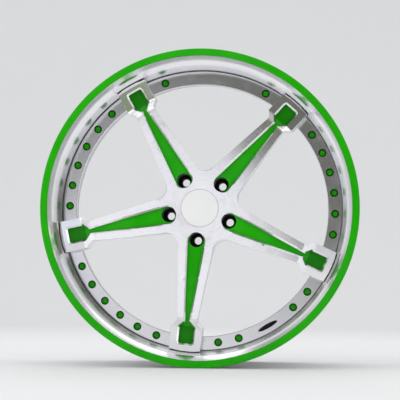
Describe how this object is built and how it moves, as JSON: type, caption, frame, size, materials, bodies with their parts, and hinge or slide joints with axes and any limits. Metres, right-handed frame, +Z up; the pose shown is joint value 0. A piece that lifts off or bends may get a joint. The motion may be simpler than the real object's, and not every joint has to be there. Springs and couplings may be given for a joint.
{
  "type": "forged wheel",
  "caption": "Three-piece forged road wheel: arched channelled spokes on a bolted ring, a deep polished outer lip, a drop-centre barrel and a plain cap.",
  "frame": {"origin": "wheel centre: where the axle line crosses the rim's mid-plane", "axes": "+Y along the axle line, inboard (the face looks along -Y); +Z up; +X right, seen from the face"},
  "size_m": [0.5982, 0.2799, 0.5982],
  "materials": {
    "polished_centre": "mirror polished, with green paint in the sunk channels",
    "polished_lip": "mirror polished, with a green flange edge",
    "spun_barrel": "spun, satin",
    "sealant": "cured silicone",
    "green_bolts": "gloss",
    "plated_washers": "zinc plated",
    "plated_nuts": "zinc plated",
    "white_cap": "smooth",
    "spring_steel": "drawn wire",
    "black_badge": "gloss",
    "valve_rubber": "moulded",
    "valve_brass": "nickel plated",
    "valve_steel": "plated",
    "valve_plastic": "moulded"
  },
  "bodies": {
    "root": {"wheel_centre": "polished_centre", "outer_lip": "polished_lip", "inner_barrel": "spun_barrel", "joint_sealant": "sealant", "assembly_bolts": "green_bolts", "nut_washers": "plated_washers", "assembly_nuts": "plated_nuts", "centre_cap": "white_cap", "cap_spring_ring": "spring_steel", "oval_badge": "black_badge", "valve_seal": "valve_rubber", "valve_stem": "valve_brass", "valve_washer": "valve_steel", "valve_core": "valve_brass", "valve_cap": "valve_plastic", "valve_nut": "valve_steel"}
  },
  "joints": []
}
